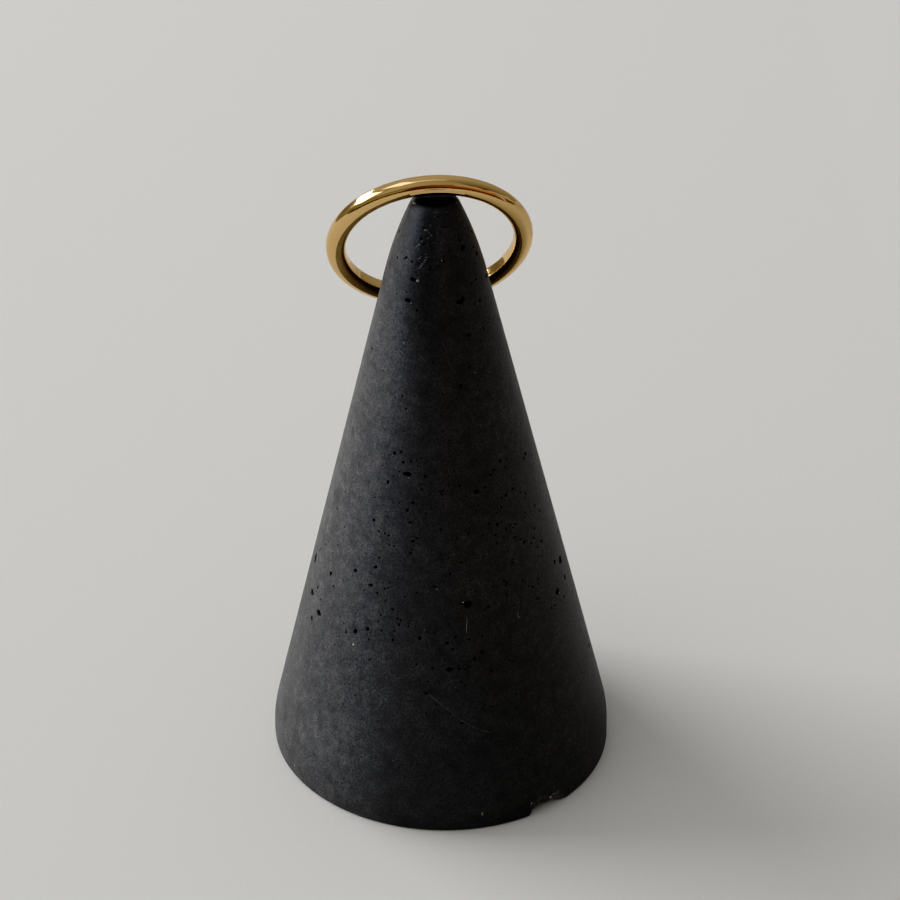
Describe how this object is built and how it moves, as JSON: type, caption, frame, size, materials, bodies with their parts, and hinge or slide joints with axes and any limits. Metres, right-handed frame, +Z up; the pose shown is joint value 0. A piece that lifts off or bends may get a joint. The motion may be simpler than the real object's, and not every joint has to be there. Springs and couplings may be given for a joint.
{
  "type": "stackable ring on a display cone",
  "caption": "Plain polished D-section finger ring hooked over the rounded tip of a black cast-concrete display cone.",
  "frame": {"origin": "centre of the display cone's foot, on the surface it stands on", "axes": "+Z up; -Y is the front, the side the ring's top leans to; +X is the right-hand side"},
  "size_m": [0.0366, 0.0366, 0.0688],
  "materials": {
    "polished_gold": "polished, with fine wear",
    "black_concrete": "matte, with air pores"
  },
  "bodies": {
    "root": {"ring_band": "polished_gold", "display_cone": "black_concrete"}
  },
  "joints": []
}
